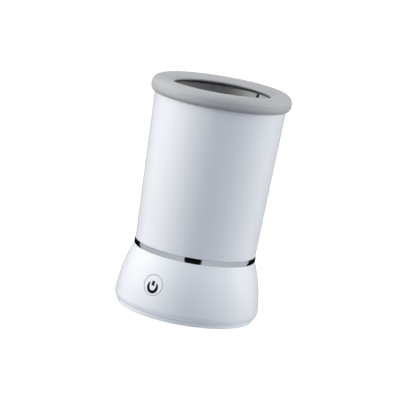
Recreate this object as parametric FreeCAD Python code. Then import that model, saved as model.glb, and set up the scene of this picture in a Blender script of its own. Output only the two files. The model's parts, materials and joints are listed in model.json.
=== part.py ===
"""Electric paw washer cup: a tapered cup with a soft rim, a motor-driven bristle sleeve inside it, and a
bell-shaped power base that the cup lifts off.

Millimetres, +Z up. The origin is the centre of the underside, where the four foot pads rest. The power
button faces -Y and the charging port faces +Y. Each function makes one piece, and the last section
writes one STEP file per piece.
"""

import FreeCAD
import Part

import math
import os

from FreeCAD import Vector

# ---- driving dimensions -------------------------------------------------------------------------

TOTAL_HEIGHT = 200.0
FOOT_CLEARANCE = 0.8          # underside of the bottom cover above the surface it stands on
WALL = 2.2                    # moulded shells

# bell-shaped base: radius and height of its outer outline
BELL_TOP = (52.65, 53.3)
BELL_MIDDLE = (59.3, 32.5)
BELL_LOW = (62.3, 12.5)
BELL_WIDEST = (62.5, 10.4)
BELL_CORNER = (62.1, 7.5)
BELL_EDGE = (60.9, 5.3)
DECK_BOTTOM = 44.0
DECK_TOP = 46.2
SOCKET_RADIUS = 50.0          # the cup's spigot plugs in here

TRIM_TOP = 58.0

# cup
TUBE_BOTTOM = 58.15
TUBE_TOP = 192.5
TUBE_BOTTOM_RADIUS = 52.4
TUBE_TOP_RADIUS = 56.8
TUBE_WALL = 2.4
SPIGOT_RADIUS = 49.7
SPIGOT_BOTTOM = 48.5
CUP_FLOOR_BOTTOM = 60.0
CUP_FLOOR_TOP = 62.5

# soft rim collar
MOUTH_RADIUS = 41.9
COLLAR_RADIUS = 60.4
COLLAR_BOTTOM = 186.4

# rotating sleeve and its bristles
SLEEVE_RADIUS = 47.0
SLEEVE_INNER = 45.0
SLEEVE_BOTTOM = 66.0
SLEEVE_FLOOR = 68.0
SLEEVE_TOP = 192.4
LINER_INNER = 43.8
LINER_BOTTOM = 69.2
LINER_TOP = 184.0
BRISTLE_TIP_CIRCLE = 24.0     # radius left free for the paw
BRISTLE_BASE = 1.7
BRISTLE_TIP = 0.9
BRISTLE_ROWS = 8
BRISTLES_PER_ROW = 20
BRISTLE_FIRST_ROW = 89.0
BRISTLE_ROW_PITCH = 12.0

# drive line: shaft radii and the three-stage gear train
SHAFT = 3.0
RUNNING = 0.03                # radial clearance of a running fit
MODULE = 0.6
PRESSURE_ANGLE = math.radians(25)
PINION_TEETH = 12
WHEEL_TEETH = 48
OUTPUT_TEETH = 60
TOOTH_THINNING = 0.06         # taken off each tooth at the pitch circle, for backlash
STAGE_DISTANCE = MODULE * (PINION_TEETH + WHEEL_TEETH) / 2
OUTPUT_DISTANCE = MODULE * (PINION_TEETH + OUTPUT_TEETH) / 2
AXLE_B = (-OUTPUT_DISTANCE, 0.0)
TURN_A = math.radians(60)
TURN_MOTOR = math.radians(-10)
AXLE_A = (AXLE_B[0] + STAGE_DISTANCE * math.cos(TURN_A), STAGE_DISTANCE * math.sin(TURN_A))
MOTOR = (AXLE_A[0] + STAGE_DISTANCE * math.cos(TURN_MOTOR), AXLE_A[1] + STAGE_DISTANCE * math.sin(TURN_MOTOR))
LEVEL_1 = (33.0, 35.4)
LEVEL_2 = (36.0, 38.4)
LEVEL_3 = (39.0, 41.4)
AXLE_RADIUS = 1.0
AXLE_RUNNING = 0.04

# gearbox drum, hung under the deck
GEARBOX_CENTRE = (-9.0, 5.0)
GEARBOX_RADIUS = 33.0
GEARBOX_BOTTOM = 30.0
GEARBOX_FLOOR = 32.4
GEARBOX_ROOF = 42.2
GEARBOX_SCREW_CIRCLE = 29.0
GEARBOX_SCREW_ANGLES = (45.0, 155.0, 270.0)

# motor
MOTOR_RADIUS = 12.2
MOTOR_BOTTOM = 5.2
MOTOR_CAP_TOP = 7.6
MOTOR_TOP = GEARBOX_BOTTOM

# bottom cover
COVER_FOOT = 58.0             # radius of the cover's lower edge
COVER_SIDE = 60.2             # its widest, just under the bell's edge
COVER_SIDE_TOP = 5.0
COVER_EASE = 0.5
COVER_INNER = 55.8
COVER_RIM = 58.0              # its flange, inside the bell's edge
COVER_PLATE_TOP = 3.2
COVER_SCREW_CIRCLE = 48.0
COVER_SCREW_ANGLES = (-155.0, -25.0, 40.0, 140.0)
COLUMN_BOTTOM = 6.0
FOOT_CIRCLE = 46.0
FOOT_RADIUS = 6.0

# battery
CELL_RADIUS = 9.1
CELL_HALF = 32.5
CELL_Y = -33.0
CELL_Z = 14.0

# circuit boards
BOARD_X = 15.0
BOARD_Y = (33.0, 56.5)
BOARD_Z = (12.6, 14.2)
BOARD_POSTS = [(x, y) for x in (-12.0, 12.0) for y in (43.0, 53.0)]
USB_WIDTH = 8.94
USB_HEIGHT = 3.26
USB_BACK = 51.0
USB_MOUTH = 58.5

# charging port in the bell, and its soft cover
PORT_Z = 15.8
PORT_WIDTH = 12.6
PORT_HEIGHT = 8.0
FLAP_WIDTH = 17.6
FLAP_HEIGHT = 11.0
FLAP_THICK = 1.2
FLAP_BOTTOM = PORT_Z - FLAP_HEIGHT / 2

# power button, in its own frame: depth is measured inward from the bell's surface
BUTTON_Z = 29.5
BUTTON_RADIUS = 8.75
BUTTON_GAP = 0.3
BUTTON_BACK = 2.9
BUTTON_FLANGE = (3.9, 4.9)
BUTTON_FLANGE_RADIUS = 10.3
BUTTON_STEM_END = 8.0
BUTTON_GUIDE_END = 7.2
MEMBRANE = (6.4, 7.2)
SWITCH_TOP = 9.2
SWITCH_BOTTOM = 12.5
BUTTON_BOARD = (12.5, 14.1)
BUTTON_POSTS = (-14.6, 14.6)  # sideways places of the two posts that hold the button's board
BUTTON_EASE = 0.35            # bevel round the cap and round its hole
ICON_RADIUS = 5.35
ICON_STROKE = 2.6
ICON_CENTRE = -1.75           # the symbol sits a little below the middle of the cap
ICON_BAR = (1.3, 5.4)         # the bar's ends, up from the ring's centre
ICON_GAP = 6.2                # width of the break in the ring
ICON_PROUD = 0.06
ICON_DEPTH = 0.5

# ---- shape helpers ------------------------------------------------------------------------------


def outline(start, *steps):
    """A closed face in the XZ plane. A step is a point for a line, or (middle, end) for an arc."""
    edges = []
    here = start
    for step in (*steps, start):
        if isinstance(step[0], tuple):
            middle, there = step
            edges.append(Part.Arc(*[Vector(r, 0, z) for r, z in (here, middle, there)]).toShape())
        else:
            there = step
            edges.append(Part.LineSegment(*[Vector(r, 0, z) for r, z in (here, there)]).toShape())
        here = there
    return Part.Face(Part.Wire(edges))


def turned(start, *steps):
    """The solid of revolution of an outline about Z."""
    return outline(start, *steps).revolve(Vector(0, 0, 0), Vector(0, 0, 1), 360)


def disc(radius, bottom, top, at=(0.0, 0.0)):
    return Part.makeCylinder(radius, top - bottom, Vector(at[0], at[1], bottom))


def ring(outer, inner, bottom, top, at=(0.0, 0.0)):
    return disc(outer, bottom, top, at).cut(disc(inner, bottom, top, at))


def block(low, high):
    return Part.makeBox(high[0] - low[0], high[1] - low[1], high[2] - low[2], Vector(*low))


def rounded_block(low, high, radius, along):
    """A block whose four edges along one axis ("x", "y" or "z") are rounded."""
    axis = {"x": 0, "y": 1, "z": 2}[along]
    solid = block(low, high)
    edges = [e for e in solid.Edges if abs(abs(e.tangentAt(e.FirstParameter)[axis]) - 1) < 1e-6]
    return solid.makeFillet(radius, edges)


def on_circle(radius, degrees, centre=(0.0, 0.0)):
    angle = math.radians(degrees)
    return (centre[0] + radius * math.cos(angle), centre[1] + radius * math.sin(angle))


def fused(first, *others):
    return first.multiFuse(list(others)).removeSplitter()


def sector(radius, bottom, top, middle_angle, width):
    """A wedge of a disc, width degrees wide about middle_angle."""
    wedge = Part.makeCylinder(radius, top - bottom, Vector(0, 0, bottom), Vector(0, 0, 1), width)
    wedge.rotate(Vector(0, 0, 0), Vector(0, 0, 1), middle_angle - width / 2)
    return wedge


def bent_wire(points, radius, bend):
    """A round wire along straight runs joined by tangent arcs of one bend radius."""
    points = [Vector(*p) for p in points]
    edges = []
    here = points[0]
    for before, corner, after in zip(points, points[1:], points[2:]):
        back = (before - corner).normalize()
        ahead = (after - corner).normalize()
        half = math.acos(max(-1.0, min(1.0, back.dot(ahead)))) / 2
        reach = bend / math.tan(half)
        inward = (back + ahead).normalize()
        centre = corner + inward * (bend / math.sin(half))
        start = corner + back * reach
        end = corner + ahead * reach
        edges.append(Part.LineSegment(here, start).toShape())
        edges.append(Part.Arc(start, centre - inward * bend, end).toShape())
        here = end
    edges.append(Part.LineSegment(here, points[-1]).toShape())
    section = Part.Wire([Part.makeCircle(radius, points[0], points[1] - points[0])])
    return Part.Wire(edges).makePipeShell([section], True, False)


# ---- the bell's outer surface -------------------------------------------------------------------


def arc_centre(a, b, c):
    """Centre and radius of the circle through three points."""
    d = 2 * (a[0] * (b[1] - c[1]) + b[0] * (c[1] - a[1]) + c[0] * (a[1] - b[1]))
    squares = [p[0] ** 2 + p[1] ** 2 for p in (a, b, c)]
    x = (squares[0] * (b[1] - c[1]) + squares[1] * (c[1] - a[1]) + squares[2] * (a[1] - b[1])) / d
    y = (squares[0] * (c[0] - b[0]) + squares[1] * (a[0] - c[0]) + squares[2] * (b[0] - a[0])) / d
    return (x, y), math.dist((x, y), a)


BELL_ARC_CENTRE, BELL_ARC_RADIUS = arc_centre(BELL_TOP, BELL_MIDDLE, BELL_LOW)


def bell_radius(z):
    """Radius of the bell's outside at height z, on its main arc."""
    return BELL_ARC_CENTRE[0] + math.sqrt(BELL_ARC_RADIUS ** 2 - (z - BELL_ARC_CENTRE[1]) ** 2)


def bell_solid(inset=0.0):
    """The bell filled solid, with its outside moved in by inset."""
    def moved(point):
        return (point[0] - inset, point[1])
    return turned((0, BELL_EDGE[1]), moved(BELL_EDGE), (moved(BELL_CORNER), moved(BELL_WIDEST)),
                  moved(BELL_LOW), (moved(BELL_MIDDLE), moved(BELL_TOP)), (0, BELL_TOP[1]))


# ---- the power button's own frame ---------------------------------------------------------------

BUTTON_POINT = Vector(0, -bell_radius(BUTTON_Z), BUTTON_Z)
BUTTON_TILT = math.atan2(BUTTON_Z - BELL_ARC_CENTRE[1], bell_radius(BUTTON_Z) - BELL_ARC_CENTRE[0])
BUTTON_OUT = Vector(0, -math.cos(BUTTON_TILT), math.sin(BUTTON_TILT))
BUTTON_UP = Vector(0, math.sin(BUTTON_TILT), math.cos(BUTTON_TILT))


def at_button(x, up, depth):
    """A point in the button's frame: sideways, up the bell, and inward from its surface."""
    return BUTTON_POINT + Vector(x, 0, 0) + BUTTON_UP * up - BUTTON_OUT * depth


def button_disc(radius, near, far, x=0.0, up=0.0):
    """A cylinder along the button's axis, from depth near to depth far."""
    return Part.makeCylinder(radius, far - near, at_button(x, up, near), BUTTON_OUT * -1)


def button_block(x, up, near, far):
    """A block in the button's frame; x and up are (low, high)."""
    corners = [at_button(x[i], up[j], near) for i, j in ((0, 0), (1, 0), (1, 1), (0, 1))]
    return Part.Face(Part.makePolygon([*corners, corners[0]])).extrude(BUTTON_OUT * (near - far))


# ---- gears --------------------------------------------------------------------------------------


def gear(teeth, levels, at, bore, tooth_angle):
    """A spur gear with involute flanks; one tooth is centred on tooth_angle (radians)."""
    pitch = MODULE * teeth / 2
    base = pitch * math.cos(PRESSURE_ANGLE)
    tip = pitch + MODULE
    root = pitch - 1.25 * MODULE
    half_at_pitch = (math.pi * MODULE / 2 - TOOTH_THINNING) / 2 / pitch

    def roll(radius):
        """The involute function of the pressure angle at a radius."""
        angle = math.acos(min(1.0, base / radius))
        return math.tan(angle) - angle

    def half_width(radius):
        return half_at_pitch + roll(pitch) - roll(max(radius, base))

    flank = [root] + [max(base, root) + (tip - max(base, root)) * k / 3 for k in range(4)]
    if flank[1] - root < 0.01:
        flank = flank[1:]
    points = []
    for tooth in range(teeth):
        centre = tooth_angle + 2 * math.pi * tooth / teeth
        sides = [(r, centre - half_width(r)) for r in flank]
        sides += [(r, centre + half_width(r)) for r in reversed(flank)]
        points += [Vector(at[0] + r * math.cos(a), at[1] + r * math.sin(a), levels[0]) for r, a in sides]
    blank = Part.Face(Part.makePolygon([*points, points[0]])).extrude(Vector(0, 0, levels[1] - levels[0]))
    return blank.cut(disc(bore, levels[0], levels[1], at))


def meshing_angle(driver_teeth, driver_at, driver_angle, driven_teeth, driven_at):
    """Where a tooth of the driven gear is centred, so that it meshes with the driver."""
    line = math.atan2(driven_at[1] - driver_at[1], driven_at[0] - driver_at[0])
    phase = (line - driver_angle) * driver_teeth / (2 * math.pi)
    return line + math.pi - (0.5 - phase) * 2 * math.pi / driven_teeth


MOTOR_TOOTH = 0.0
WHEEL_A_TOOTH = meshing_angle(PINION_TEETH, MOTOR, MOTOR_TOOTH, WHEEL_TEETH, AXLE_A)
WHEEL_B_TOOTH = meshing_angle(PINION_TEETH, AXLE_A, 0.0, WHEEL_TEETH, AXLE_B)
OUTPUT_TOOTH = meshing_angle(PINION_TEETH, AXLE_B, 0.0, OUTPUT_TEETH, (0.0, 0.0))


def compound_gear(at, wheel_tooth, wheel_levels, pinion_top):
    """A wheel with a pinion moulded on top, turning freely on its axle."""
    bore = AXLE_RADIUS + AXLE_RUNNING
    wheel = gear(WHEEL_TEETH, wheel_levels, at, bore, wheel_tooth)
    pinion = gear(PINION_TEETH, (wheel_levels[1], pinion_top), at, bore, 0.0)
    return wheel.fuse(pinion).removeSplitter()


def first_gear():
    return compound_gear(AXLE_A, WHEEL_A_TOOTH, LEVEL_1, LEVEL_3[0] - 0.4)


def second_gear():
    return compound_gear(AXLE_B, WHEEL_B_TOOTH, LEVEL_2, LEVEL_3[1] + 0.2)


def output_gear():
    return gear(OUTPUT_TEETH, LEVEL_3, (0.0, 0.0), SHAFT, OUTPUT_TOOTH)


def motor_pinion():
    return gear(PINION_TEETH, LEVEL_1, MOTOR, AXLE_RADIUS, MOTOR_TOOTH)


# ---- base: shells -------------------------------------------------------------------------------


def gearbox_screw_places():
    return [on_circle(GEARBOX_SCREW_CIRCLE, a, GEARBOX_CENTRE) for a in GEARBOX_SCREW_ANGLES]


def cover_screw_places():
    return [on_circle(COVER_SCREW_CIRCLE, a) for a in COVER_SCREW_ANGLES]


def port_block(width, height, near, far, radius):
    """A rounded block through the bell at the charging port, from y near to y far."""
    low = (-width / 2, near, PORT_Z - height / 2)
    high = (width / 2, far, PORT_Z + height / 2)
    return rounded_block(low, high, radius, "y")


def base_shell():
    """The bell: skirt, deck, socket for the cup, screw columns, button guide and posts, and port."""
    inner_low = (BELL_LOW[0] - WALL, BELL_LOW[1])
    inner_middle = (BELL_MIDDLE[0] - WALL, BELL_MIDDLE[1])
    inner_top = (bell_radius(DECK_BOTTOM) - WALL, DECK_BOTTOM)
    shell = turned((SOCKET_RADIUS, BELL_TOP[1]), BELL_TOP, (BELL_MIDDLE, BELL_LOW), BELL_WIDEST,
                   (BELL_CORNER, BELL_EDGE), (COVER_RIM + 0.3, BELL_EDGE[1]), (COVER_RIM + 0.3, 8.4),
                   (inner_low[0], 10.6), inner_low, (inner_middle, inner_top),
                   (6.5, DECK_BOTTOM), (6.5, 47.2), (9.5, 47.2), (9.5, DECK_TOP), (SOCKET_RADIUS, DECK_TOP))
    columns = [disc(3.5, COLUMN_BOTTOM, DECK_BOTTOM + 1, at) for at in cover_screw_places()]
    domes = [disc(3.4, DECK_TOP - 0.5, 47.6, at) for at in gearbox_screw_places()]
    filled = bell_solid()
    guide = button_disc(13.0, -3, BUTTON_GUIDE_END).cut(button_disc(11.2, -3, BUTTON_GUIDE_END))
    guide = guide.common(filled)
    posts = [button_disc(2.2, -1, BUTTON_BOARD[0], x).common(filled) for x in BUTTON_POSTS]
    shell = fused(shell, *columns, *domes, guide, *posts)
    for at in cover_screw_places():
        shell = shell.cut(disc(1.5, COLUMN_BOTTOM, 17.0, at))
    for at in gearbox_screw_places():
        shell = shell.cut(disc(1.25, DECK_BOTTOM, 46.6, at))
    for x in BUTTON_POSTS:
        shell = shell.cut(button_disc(1.0, 8.0, BUTTON_BOARD[0], x))
    shell = shell.cut(button_disc(BUTTON_RADIUS + BUTTON_GAP, -4, 4.0))
    shell = eased_rim(shell, BUTTON_RADIUS + BUTTON_GAP)
    recess = rounded_block((-FLAP_WIDTH / 2 - 0.2, 50, FLAP_BOTTOM - 0.2),
                           (FLAP_WIDTH / 2 + 0.2, 70, FLAP_BOTTOM + FLAP_HEIGHT + 0.6), 2.6, "y")
    recess = recess.common(bell_solid(-1.0)).cut(bell_solid(FLAP_THICK + 0.1))
    return shell.cut(recess).cut(port_block(PORT_WIDTH, PORT_HEIGHT, 55, 70, 1.5))


def bottom_cover():
    """The underside: plate, rounded side, flange, screw bosses, board posts and foot recesses."""
    cover = turned((0, FOOT_CLEARANCE), (COVER_FOOT, FOOT_CLEARANCE),
                   ((COVER_FOOT + 0.9, FOOT_CLEARANCE + 0.3), (COVER_SIDE - 0.7, FOOT_CLEARANCE + 1.3)),
                   (COVER_SIDE, COVER_SIDE_TOP - COVER_EASE), (COVER_SIDE - COVER_EASE, COVER_SIDE_TOP),
                   (COVER_RIM, COVER_SIDE_TOP), (COVER_RIM, 8.2), (COVER_INNER, 8.2),
                   (COVER_INNER, COVER_PLATE_TOP), (0, COVER_PLATE_TOP))
    bosses = [disc(4.4, COVER_PLATE_TOP - 1, COLUMN_BOTTOM, at) for at in cover_screw_places()]
    posts = [disc(2.4, COVER_PLATE_TOP - 1, BOARD_Z[0], at) for at in BOARD_POSTS]
    cover = fused(cover, *bosses, *posts)
    for at in cover_screw_places():
        cover = cover.cut(disc(3.2, 0, 3.6, at)).cut(disc(1.7, 0, COLUMN_BOTTOM, at))
    for at in BOARD_POSTS:
        cover = cover.cut(disc(1.0, 7.0, BOARD_Z[0], at))
    for at in foot_places():
        cover = cover.cut(disc(FOOT_RADIUS + 0.1, 0, FOOT_CLEARANCE * 2, at))
    return cover


def foot_places():
    return [on_circle(FOOT_CIRCLE, a) for a in (0, 90, 180, 270)]


def foot_pads():
    return Part.makeCompound([disc(FOOT_RADIUS, 0, FOOT_CLEARANCE * 2, at) for at in foot_places()])


def trim_ring():
    """Polished band that hides the joint between the base and the cup."""
    return turned((SOCKET_RADIUS, BELL_TOP[1]), (BELL_TOP[0] - 0.1, BELL_TOP[1]),
                  ((BELL_TOP[0] + 0.2, (BELL_TOP[1] + TRIM_TOP) / 2), (TUBE_BOTTOM_RADIUS, TRIM_TOP)),
                  (SOCKET_RADIUS, TRIM_TOP))


# ---- base: gearbox and motor --------------------------------------------------------------------


def gearbox_plate():
    plate = disc(GEARBOX_RADIUS, GEARBOX_BOTTOM, GEARBOX_FLOOR, GEARBOX_CENTRE)
    holes = [disc(3.0, GEARBOX_BOTTOM, GEARBOX_FLOOR, MOTOR), disc(3.5, GEARBOX_BOTTOM, GEARBOX_FLOOR)]
    holes += [disc(AXLE_RADIUS, GEARBOX_BOTTOM + 0.6, GEARBOX_FLOOR, at) for at in (AXLE_A, AXLE_B)]
    holes += [disc(1.25, GEARBOX_BOTTOM, GEARBOX_FLOOR, at) for at in gearbox_screw_places()]
    holes += [disc(1.0, GEARBOX_BOTTOM, GEARBOX_FLOOR, at) for at in motor_screw_places()]
    return plate.cut(Part.makeCompound(holes))


def gearbox_cover():
    """The drum over the gears: side wall, roof and screw bosses."""
    roof = disc(GEARBOX_RADIUS, GEARBOX_ROOF, DECK_BOTTOM, GEARBOX_CENTRE)
    wall = ring(GEARBOX_RADIUS, GEARBOX_RADIUS - 1.8, GEARBOX_FLOOR, GEARBOX_ROOF, GEARBOX_CENTRE)
    inside = disc(GEARBOX_RADIUS, GEARBOX_FLOOR, DECK_BOTTOM, GEARBOX_CENTRE)
    bosses = [disc(2.7, GEARBOX_FLOOR, GEARBOX_ROOF, at).common(inside) for at in gearbox_screw_places()]
    cover = fused(roof, wall, *bosses)
    holes = [disc(5.0, GEARBOX_ROOF, DECK_BOTTOM)]
    holes += [disc(AXLE_RADIUS, GEARBOX_ROOF, 43.4, at) for at in (AXLE_A, AXLE_B)]
    holes += [disc(1.25, GEARBOX_FLOOR, DECK_BOTTOM, at) for at in gearbox_screw_places()]
    return cover.cut(Part.makeCompound(holes))


def axle(at):
    return disc(AXLE_RADIUS, GEARBOX_BOTTOM + 0.6, 43.4, at)


def output_bush():
    return ring(5.0, SHAFT + RUNNING, GEARBOX_ROOF, DECK_BOTTOM)


def lower_bush():
    return ring(3.5, 2.0 + RUNNING, GEARBOX_BOTTOM, GEARBOX_FLOOR)


def lip_seal(bottom, top):
    """A shaft seal: a cased ring with a lip that leans in to the shaft."""
    lip = SHAFT + RUNNING
    return turned((6.5, bottom), (6.5, top), (5.3, top), (5.3, bottom + 1.0), (4.2, bottom + 1.6),
                  (lip + 0.5, top - 0.3), (lip, top - 0.6), (lip, top - 1.0), (3.6, bottom))


def motor_screw_places():
    return [on_circle(8.0, a, MOTOR) for a in (100, 280)]


def motor_can():
    """Steel can, open at the bottom, with its bearing nose through the gearbox plate."""
    can = disc(MOTOR_RADIUS, MOTOR_CAP_TOP, MOTOR_TOP, MOTOR)
    can = can.cut(disc(MOTOR_RADIUS - 0.8, MOTOR_CAP_TOP, MOTOR_TOP - 1.4, MOTOR))
    can = fused(can, disc(3.0, MOTOR_TOP - 1, MOTOR_TOP + 1.2, MOTOR))
    holes = [disc(1.0, MOTOR_TOP - 1.4, MOTOR_TOP, at) for at in motor_screw_places()]
    return can.cut(Part.makeCompound([disc(1.0 + RUNNING, MOTOR_CAP_TOP, MOTOR_TOP + 2, MOTOR), *holes]))


def motor_end_cap():
    cap = disc(MOTOR_RADIUS, MOTOR_BOTTOM, MOTOR_CAP_TOP, MOTOR)
    return cap.cut(disc(1.0 + RUNNING, MOTOR_BOTTOM + 0.4, MOTOR_CAP_TOP, MOTOR))


def motor_magnets():
    """Two curved magnets inside the can."""
    magnet = ring(MOTOR_RADIUS - 0.8, 9.6, 11.0, 26.0)
    halves = [magnet.common(sector(MOTOR_RADIUS, 11.0, 26.0, a, 140)) for a in (0, 180)]
    magnets = Part.makeCompound(halves)
    magnets.translate(Vector(MOTOR[0], MOTOR[1], 0))
    return magnets


def armature():
    """Three-pole rotor with its commutator."""
    core = disc(9.2, 12.0, 25.0)
    for k in range(3):
        slot = sector(8.0, 12.0, 25.0, 60 + 120 * k, 70).cut(disc(4.0, 12.0, 25.0))
        mouth = block((7.0, -0.7, 12.0), (10.0, 0.7, 25.0))
        mouth.rotate(Vector(0, 0, 0), Vector(0, 0, 1), 60 + 120 * k)
        core = core.cut(slot).cut(mouth)
    core = fused(core, disc(3.2, 8.6, 12.0)).cut(disc(1.0, 8.6, 25.0))
    core.translate(Vector(MOTOR[0], MOTOR[1], 0))
    return core


def motor_shaft():
    return disc(1.0, MOTOR_BOTTOM + 0.5, LEVEL_1[1] + 0.2, MOTOR)


def pan_screw(at, head_radius, head_bottom, head_top, shank_radius, tip):
    """A screw whose head is on the low side and whose shank goes up to tip."""
    head = disc(head_radius, head_bottom, head_top, at)
    reach = head_radius * 0.6
    cross = block((-reach, -0.3, head_bottom), (reach, 0.3, head_bottom + 0.7))
    cross = cross.fuse(block((-0.3, -reach, head_bottom), (0.3, reach, head_bottom + 0.7)))
    cross.translate(Vector(at[0], at[1], 0))
    return fused(head, disc(shank_radius, head_top, tip, at)).cut(cross)


def cover_screws():
    return Part.makeCompound([pan_screw(at, 3.0, 1.5, 3.6, 1.5, 16.0) for at in cover_screw_places()])


def gearbox_screws():
    places = gearbox_screw_places()
    return Part.makeCompound([pan_screw(at, 2.3, 28.4, GEARBOX_BOTTOM, 1.25, 46.4) for at in places])


def motor_screws():
    """Two short screws, driven from above, that hold the motor to the plate."""
    head_top = GEARBOX_FLOOR + 1.4
    screws = []
    for at in motor_screw_places():
        screw = pan_screw(at, 1.9, 0.0, 1.2, 1.0, 4.4)
        screw.rotate(Vector(at[0], at[1], 0), Vector(1, 0, 0), 180)
        screw.translate(Vector(0, 0, head_top))
        screws.append(screw)
    return Part.makeCompound(screws)


# ---- base: output drive -------------------------------------------------------------------------


def output_shaft():
    return fused(disc(SHAFT, GEARBOX_FLOOR + 0.4, 49.6), disc(2.0, GEARBOX_BOTTOM + 0.2, GEARBOX_FLOOR + 1))


def dog(disc_levels, lug_levels, first_lug):
    """A drive dog: a disc with three lugs, which mesh with the gaps of the dog that faces it."""
    body = disc(10.0, *disc_levels)
    lugs = [sector(10.0, *lug_levels, first_lug + 120 * k, 50).cut(disc(4.5, *lug_levels)) for k in range(3)]
    return fused(body, *lugs).cut(disc(SHAFT, *disc_levels))


def drive_dog():
    return dog((47.8, 49.6), (49.6, 52.8), 0)


def driven_dog():
    return dog((53.2, 55.2), (50.0, 53.2), 60)


# ---- base: battery and boards -------------------------------------------------------------------


def along_x(radius, x0, x1, y, z):
    return Part.makeCylinder(radius, x1 - x0, Vector(x0, y, z), Vector(1, 0, 0))


def battery_cell():
    return fused(along_x(CELL_RADIUS, -CELL_HALF, CELL_HALF - 1, CELL_Y, CELL_Z),
                 along_x(3.2, CELL_HALF - 1, CELL_HALF, CELL_Y, CELL_Z))


def battery_cradle():
    """Trough that holds the cell on the bottom cover, cut low at the middle of each side."""
    trough = block((-34.5, CELL_Y - 10.5, COVER_PLATE_TOP), (34.5, CELL_Y + 10.5, 12.0))
    trough = trough.cut(along_x(CELL_RADIUS + 0.05, -33.0, 33.0, CELL_Y, CELL_Z))
    return trough.cut(block((-24.0, CELL_Y - 11, 8.0), (-8.0, CELL_Y + 11, 13.0))).cut(
        block((8.0, CELL_Y - 11, 8.0), (24.0, CELL_Y + 11, 13.0)))


def protection_board():
    """Round circuit board on the cell's positive end."""
    return along_x(8.6, CELL_HALF, CELL_HALF + 0.5, CELL_Y, CELL_Z)


def battery_strap():
    """Band over the top of the cell, standing on the cradle."""
    outer, inner = CELL_RADIUS + 1.0, CELL_RADIUS + 0.1
    band = along_x(outer, -5, 5, CELL_Y, CELL_Z).cut(along_x(inner, -5, 5, CELL_Y, CELL_Z))
    return band.common(block((-5, CELL_Y - 12, 12.0), (5, CELL_Y + 12, 30.0)))


def main_board():
    low = (-BOARD_X, BOARD_Y[0], BOARD_Z[0])
    high = (BOARD_X, BOARD_Y[1], BOARD_Z[1])
    board = rounded_block(low, high, 1.5, "z")
    return board.cut(Part.makeCompound([disc(1.0, *BOARD_Z, at) for at in BOARD_POSTS]))


def board_components():
    """Charger chip, inductor and three lead connectors."""
    top = BOARD_Z[1]
    chip = block((-8.0, 40.5, top), (-3.0, 45.5, top + 0.9))
    coil = rounded_block((2.0, 40.0, top), (8.0, 46.0, top + 3.0), 1.0, "z")
    connectors = [block((x - 2.8, 33.4, top), (x + 2.8, 37.4, top + 3.6)) for x in (-10.0, 0.0, 10.0)]
    return Part.makeCompound([chip, coil, *connectors])


def usb_socket():
    """Metal charging receptacle, open towards +Y, with the contact tongue inside."""
    bottom = BOARD_Z[1]
    top = bottom + USB_HEIGHT
    half = USB_WIDTH / 2
    skin = 0.32
    shell = rounded_block((-half, USB_BACK, bottom), (half, USB_MOUTH, top), 1.2, "y")
    cavity = rounded_block((skin - half, USB_BACK + 1, bottom + skin),
                           (half - skin, USB_MOUTH, top - skin), 0.9, "y")
    tongue = block((-3.3, USB_BACK + 0.5, bottom + 1.28), (3.3, USB_MOUTH - 0.9, bottom + 1.98))
    return fused(shell.cut(cavity), tongue)


def board_screws():
    screws = []
    for at in BOARD_POSTS:
        screw = pan_screw(at, 1.9, 0.0, 1.2, 1.0, 8.0)
        screw.rotate(Vector(at[0], at[1], 0), Vector(1, 0, 0), 180)
        screw.translate(Vector(0, 0, BOARD_Z[1] + 1.2))
        screws.append(screw)
    return Part.makeCompound(screws)


# ---- base: power button and switch --------------------------------------------------------------


def icon_print(near, far):
    """The standby symbol, a broken ring and a bar, as a prism along the button's axis."""
    hole = button_disc(ICON_RADIUS - ICON_STROKE, near, far, 0, ICON_CENTRE)
    mark = button_disc(ICON_RADIUS, near, far, 0, ICON_CENTRE).cut(hole)
    above = (ICON_CENTRE, ICON_CENTRE + ICON_RADIUS + 1)
    mark = mark.cut(button_block((-ICON_GAP / 2, ICON_GAP / 2), above, near, far))
    bar = (ICON_CENTRE + ICON_BAR[0], ICON_CENTRE + ICON_BAR[1])
    return Part.makeCompound([mark, button_block((-ICON_STROKE / 2, ICON_STROKE / 2), bar, near, far)])


def eased_rim(solid, radius):
    """Bevels the edge where a cylinder about the button's axis meets the bell's outside."""
    rim = [edge for edge in solid.Edges if near_bell(edge, radius)]
    return solid.makeChamfer(BUTTON_EASE, rim)


def near_bell(edge, radius):
    """Whether an edge lies on the bell's outside, at a radius from the button's axis."""
    for k in range(5):
        point = edge.valueAt(edge.FirstParameter + (edge.LastParameter - edge.FirstParameter) * k / 4)
        from_axis = (point - BUTTON_POINT).cross(BUTTON_OUT).Length
        if abs(from_axis - radius) > 0.01 or abs(math.hypot(point.x, point.y) - bell_radius(point.z)) > 0.01:
            return False
    return True


def power_button():
    """Cap that follows the bell's surface, with its neck, flange and stem."""
    cap = button_disc(BUTTON_RADIUS, -4, BUTTON_BACK).common(bell_solid())
    cap = eased_rim(cap, BUTTON_RADIUS)
    neck = button_disc(8.3, BUTTON_BACK - 0.5, BUTTON_FLANGE[0] + 0.2)
    flange = button_disc(BUTTON_FLANGE_RADIUS, *BUTTON_FLANGE)
    stem = button_disc(1.6, BUTTON_FLANGE[0], BUTTON_STEM_END)
    return fused(cap, neck, flange, stem).cut(power_icon())


def power_icon():
    """The symbol's inlay, a hair proud of the cap."""
    skin = bell_solid(-ICON_PROUD).cut(bell_solid(ICON_DEPTH))
    return Part.makeCompound([s.common(skin) for s in icon_print(-4, BUTTON_BACK).Solids])


def button_membrane():
    return button_disc(11.2, *MEMBRANE).cut(button_disc(1.7, *MEMBRANE))


def switch_plunger():
    return button_disc(1.75, BUTTON_STEM_END, 10.4)


def switch_body():
    body = button_block((-3.1, 3.1), (-3.1, 3.1), SWITCH_TOP, SWITCH_BOTTOM)
    return body.cut(button_disc(1.85, SWITCH_TOP, 11.7))


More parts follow.
